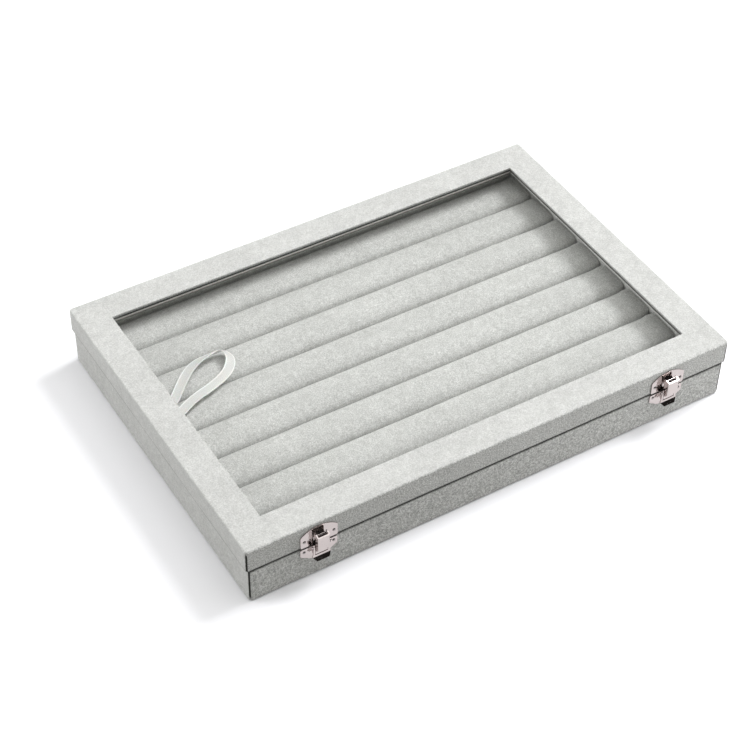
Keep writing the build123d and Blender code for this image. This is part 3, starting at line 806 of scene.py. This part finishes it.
# %% [markdown]
# ## Stamped nickel parts
# The latch and hinge pieces have their right shape in the frame, but a stamping's edges are never
# knife-sharp, and those small rounded edges carry the bright and dark lines that make metal look
# real. The function that rounded the lined cards does it with a smaller radius.

# %% Round the stamped edges
STAMPED_ROUND = 0.0003
STAMPINGS = []
for end in ENDS:
    STAMPINGS += [
        (f"latch_{end}_plate", "base"), (f"latch_{end}_strike", "lid"),
        (f"latch_{end}_lever", f"lever_{end}"), (f"latch_{end}_link", f"link_{end}"),
        (f"hinge_{end}_base_leaf", "base"), (f"hinge_{end}_lid_leaf", "lid"),
    ]
for node, body in STAMPINGS:
    rounded_copy(node, f"bright_{node}", body, nickel, STAMPED_ROUND, 2)
print("stampings", len(STAMPINGS))

# %% [markdown]
# ## Floor, light and background
# The box stands on white in soft studio light. The main lamp is a panel high on the right, so that
# the lid's frame throws a short soft shadow over the rolls' ends. A wide panel overhead and the sky
# fill that shadow, a third panel lights the left side, and a small low one near the right corner
# makes the front brighter towards that end. Those two stand low, where the pane would mirror them as
# white blots over the rolls, so metal and glass don't get to see them. The floor looks white to the
# camera through a Light Path switch, but gives back less light than it shows, so the front stays as
# dark as in the photograph. Away from the box it turns into an even white, up to the horizon. Metal
# mirrors its surroundings, and a studio is dark above the white table: the world is dark there for
# glossy rays alone, and the two high panels stay bright in it.

# %% Floor
FLOOR_SIZE = 8.0
bm = bmesh.new()
bmesh.ops.create_grid(bm, x_segments=1, y_segments=1, size=FLOOR_SIZE / 2)
floor_mesh = bpy.data.meshes.new("floor")
bm.to_mesh(floor_mesh)
bm.free()
floor = bpy.data.objects.new("floor", floor_mesh)
bpy.context.scene.collection.objects.link(floor)


def seen_directly(tree):
    """1 for rays from the camera and for what shows in metal and glass, else 0."""
    light_path = tree.nodes.new("ShaderNodeLightPath")
    total = tree.nodes.new("ShaderNodeMath")
    total.operation = "MAXIMUM"
    both = tree.nodes.new("ShaderNodeMath")
    both.operation = "MAXIMUM"
    tree.links.new(light_path.outputs["Is Camera Ray"], total.inputs[0])
    tree.links.new(light_path.outputs["Is Glossy Ray"], total.inputs[1])
    tree.links.new(total.outputs[0], both.inputs[0])
    tree.links.new(light_path.outputs["Is Transmission Ray"], both.inputs[1])
    return both.outputs[0]


FLOOR_BOUNCE = 0.42
FLOOR_SHOWN = 0.96
WHITE_FROM = 0.45
WHITE_AT = 1.1
floor_material = bpy.data.materials.new("white_floor")
floor_material.use_nodes = True
tree = floor_material.node_tree
tree.nodes.remove(tree.nodes["Principled BSDF"])
dim = tree.nodes.new("ShaderNodeBsdfDiffuse")
dim.inputs["Color"].default_value = (FLOOR_BOUNCE, FLOOR_BOUNCE, FLOOR_BOUNCE, 1)
shown = tree.nodes.new("ShaderNodeBsdfDiffuse")
shown.inputs["Color"].default_value = (FLOOR_SHOWN, FLOOR_SHOWN, FLOOR_SHOWN * 1.04, 1)
white = tree.nodes.new("ShaderNodeEmission")
place = tree.nodes.new("ShaderNodeTexCoord")
away = tree.nodes.new("ShaderNodeVectorMath")
away.operation = "LENGTH"
tree.links.new(place.outputs["Object"], away.inputs[0])
far = tree.nodes.new("ShaderNodeMapRange")
far.inputs["From Min"].default_value = WHITE_FROM
far.inputs["From Max"].default_value = WHITE_AT
tree.links.new(away.outputs["Value"], far.inputs["Value"])
lit = tree.nodes.new("ShaderNodeMixShader")
tree.links.new(far.outputs["Result"], lit.inputs["Fac"])
tree.links.new(shown.outputs[0], lit.inputs[1])
tree.links.new(white.outputs[0], lit.inputs[2])
switch = tree.nodes.new("ShaderNodeMixShader")
tree.links.new(seen_directly(tree), switch.inputs["Fac"])
tree.links.new(dim.outputs[0], switch.inputs[1])
tree.links.new(lit.outputs[0], switch.inputs[2])
tree.links.new(switch.outputs[0], tree.nodes["Material Output"].inputs["Surface"])
floor.data.materials.append(floor_material)
print("floor", FLOOR_SIZE, "m")

# %% World
SKY_STRENGTH = 0.4
SKY_TINT = (1.0, 1.0, 0.93, 1)
DARK_ABOVE = (0.0, 0.12)
world = bpy.data.worlds.new("studio")
bpy.context.scene.world = world
world.use_nodes = True
tree = world.node_tree
background = tree.nodes["Background"]
background.inputs["Color"].default_value = SKY_TINT
background.inputs["Strength"].default_value = SKY_STRENGTH
direction = tree.nodes.new("ShaderNodeTexCoord")
height = tree.nodes.new("ShaderNodeSeparateXYZ")
tree.links.new(direction.outputs["Generated"], height.inputs["Vector"])
room = tree.nodes.new("ShaderNodeBackground")
dark = ramp(tree, height.outputs["Z"], *DARK_ABOVE, (1, 1, 1), (0.02, 0.019, 0.018))
only_glossy = tree.nodes.new("ShaderNodeLightPath")
mirrored = tree.nodes.new("ShaderNodeMix")
mirrored.data_type = "RGBA"
mirrored.inputs[6].default_value = (1, 1, 1, 1)
tree.links.new(only_glossy.outputs["Is Glossy Ray"], mirrored.inputs["Factor"])
tree.links.new(dark, mirrored.inputs[7])
tree.links.new(mirrored.outputs[2], room.inputs["Color"])
switch = tree.nodes.new("ShaderNodeMixShader")
tree.links.new(seen_directly(tree), switch.inputs["Fac"])
tree.links.new(background.outputs[0], switch.inputs[1])
tree.links.new(room.outputs[0], switch.inputs[2])
tree.links.new(switch.outputs[0], tree.nodes["World Output"].inputs["Surface"])
print("world", world.name)

# %% Lamps


def panel_lamp(name, direction, distance, width, power):
    """A square softbox that looks at the box from a direction."""
    lamp = bpy.data.lights.new(name, "AREA")
    lamp.shape = "SQUARE"
    lamp.size = width
    lamp.energy = power
    holder = bpy.data.objects.new(name, lamp)
    away = Vector(direction).normalized()
    holder.location = away * distance
    holder.rotation_mode = "QUATERNION"
    holder.rotation_quaternion = away.to_track_quat("Z", "Y")
    bpy.context.scene.collection.objects.link(holder)
    return holder


key = panel_lamp("key_panel", (0.6, 0.05, 0.8), 2.8, 1.0, 58)
top = panel_lamp("top_panel", (0.02, -0.15, 1), 1.7, 1.3, 10)
side = panel_lamp("side_panel", (-1, 0.6, 0.3), 1.6, 0.9, 13.5)
corner = panel_lamp("corner_panel", (0.7, -0.6, 0.18), 0.65, 0.2, 1.05)
for low_lamp in (side, corner):
    low_lamp.visible_glossy = False
    low_lamp.visible_transmission = False
print("lamps", key.name, top.name, side.name, corner.name)
